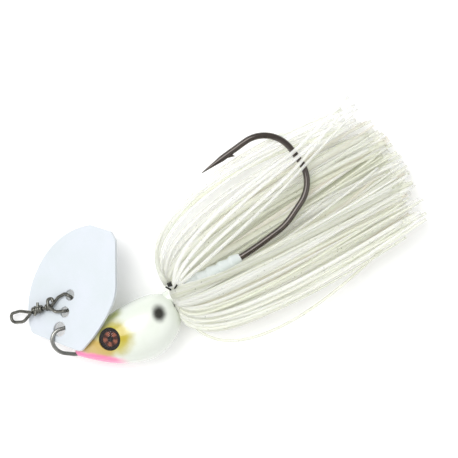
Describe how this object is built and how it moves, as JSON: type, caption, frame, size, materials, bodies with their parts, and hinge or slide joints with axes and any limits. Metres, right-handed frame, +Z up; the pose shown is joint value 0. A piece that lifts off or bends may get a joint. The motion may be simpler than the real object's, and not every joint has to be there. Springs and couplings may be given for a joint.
{
  "type": "bladed swim jig",
  "caption": "Bladed jig lure: painted lead head, upturned barbed hook, swinging metal blade, wire snap for the line and a white silicone skirt.",
  "frame": {"origin": "on the surface the lure lies on, under the middle of its bounding box", "axes": "+X along the hook's shank from the nose to the bend, +Y in the hook's plane towards the hook's point, +Z up, square to the hook's plane; the lure lies on its left cheek"},
  "size_m": [0.0806, 0.0358, 0.0108],
  "materials": {
    "head_paint": "glossy airbrushed lure paint over lead, pearl white with chartreuse, olive, pink and black",
    "black_nickel": "black nickel plated hook wire",
    "stainless_wire": "bright stainless wire",
    "snap_wire": "dark stainless spring wire",
    "blade_coat": "satin pearl white powder coat",
    "eye_foil": "printed copper foil with black pupil and rim",
    "eye_dome": "clear epoxy dome",
    "keeper_plastic": "translucent pale plastic",
    "collar_rubber": "white silicone rubber band",
    "tie_wire": "dark annealed binding wire",
    "skirt_silicone": "translucent white silicone strands with pale olive and peach tints and fine flecks"
  },
  "bodies": {
    "lure": {"eye_dome_left": "eye_dome", "eye_dome_right": "eye_dome", "eye_foil_left": "eye_foil", "eye_foil_right": "eye_foil", "head_casting": "head_paint", "hook": "black_nickel", "nose_ring": "stainless_wire", "skirt_collar": "collar_rubber", "skirt_far_1": "skirt_silicone", "skirt_far_2": "skirt_silicone", "skirt_far_3": "skirt_silicone", "skirt_far_4": "skirt_silicone", "skirt_near_1": "skirt_silicone", "skirt_near_2": "skirt_silicone", "skirt_near_3": "skirt_silicone", "skirt_near_4": "skirt_silicone", "tie_wire": "tie_wire", "trailer_keeper": "keeper_plastic"},
    "blade": {"blade": "blade_coat"},
    "snap": {"snap": "snap_wire"}
  },
  "joints": [
    {"name": "blade_swing", "type": "hinge", "parent": "lure", "child": "blade", "pos_m": [-0.03187, 0.00181, 0.00534], "axis": [0.6833, -0.7302, 0], "range_deg": [0, 27]},
    {"name": "snap_swing", "type": "hinge", "parent": "blade", "child": "snap", "pos_m": [-0.02797, 0.00545, 0.00534], "axis": [0.7302, 0.6833, 0], "range_deg": [0, 33]}
  ]
}
